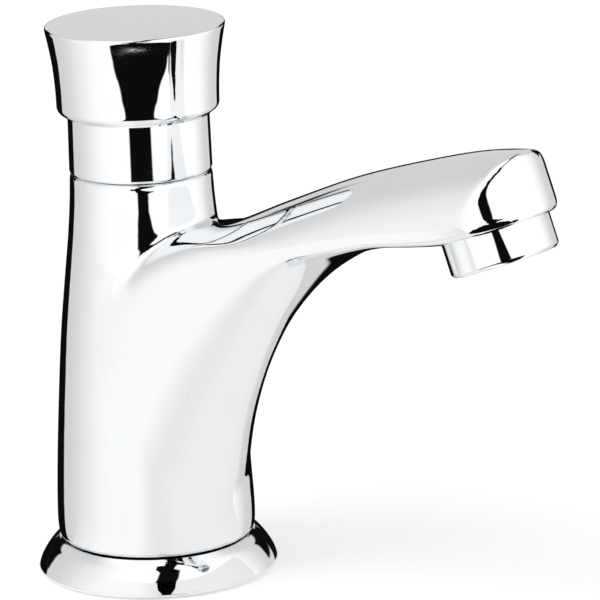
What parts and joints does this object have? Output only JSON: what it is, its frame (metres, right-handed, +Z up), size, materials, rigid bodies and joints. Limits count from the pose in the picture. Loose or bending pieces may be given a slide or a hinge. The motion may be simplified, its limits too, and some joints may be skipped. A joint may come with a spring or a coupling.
{
  "type": "push timed tap",
  "caption": "Deck-mounted basin tap with a flared push button on a round column and a swept spout, closed by a timed spring cartridge.",
  "frame": {"origin": "centre of the foot gasket's underside, on the deck's top face and on the column's axis", "axes": "+Z up along the column, away from the deck; +X from the column towards the spout's mouth; +Y to the side"},
  "size_m": [0.1364, 0.0544, 0.178],
  "materials": {
    "chrome": "mirror-polished chrome plate on brass",
    "brass": "machined brass, unplated",
    "stainless": "turned or stamped stainless steel",
    "black_rubber": "moulded nitrile rubber, matt",
    "white_acetal": "moulded acetal, satin",
    "grey_acetal": "moulded acetal, satin",
    "zinc_steel": "zinc-plated steel"
  },
  "bodies": {
    "tap": {"tap_body": "chrome", "base_flange": "chrome", "collar": "chrome", "aerator_housing": "chrome", "base_gasket": "black_rubber", "threaded_shank": "brass", "shank_o_ring": "black_rubber", "inlet_strainer": "stainless", "valve_seat": "brass", "seat_o_ring": "black_rubber", "cartridge_sleeve": "brass", "cartridge_head": "brass", "head_o_ring": "black_rubber", "stem_o_ring": "black_rubber", "stem_guide_bush": "white_acetal", "guide_circlip": "stainless", "return_spring": "stainless", "collar_seal": "black_rubber", "aerator_insert": "grey_acetal", "aerator_screens": "stainless", "flow_regulator": "white_acetal", "aerator_gasket": "black_rubber"},
    "plunger": {"button_cap": "chrome", "button_core": "grey_acetal", "button_screw": "stainless", "stem": "stainless", "piston": "white_acetal", "piston_lip_seal": "black_rubber", "piston_clip": "stainless", "timing_jet": "brass", "valve_washer": "black_rubber", "valve_disc": "brass", "valve_nut": "stainless"},
    "deck_washers": {"deck_rubber_washer": "black_rubber", "deck_steel_washer": "zinc_steel"},
    "backnut": {"backnut": "brass"}
  },
  "joints": [
    {"name": "plunger_press", "type": "slide", "parent": "tap", "child": "plunger", "axis": [0, 0, -1], "range_m": [0, 0.006], "stiffness_N_per_m": 1500, "springref_m": -0.006, "deforming": ["return_spring"]},
    {"name": "washer_slide", "type": "slide", "parent": "tap", "child": "deck_washers", "axis": [0, 0, 1], "range_m": [-0.02, 0.009]},
    {"name": "backnut_turn", "type": "hinge", "parent": "deck_washers", "child": "backnut", "pos_m": [0, 0, -0.0235], "axis": [0, 0, 1], "range_deg": [-3972, 1790]}
  ],
  "couplings": [
    {"joint": "backnut_turn", "follows": "washer_slide", "rad_per_m": 3463.2}
  ]
}
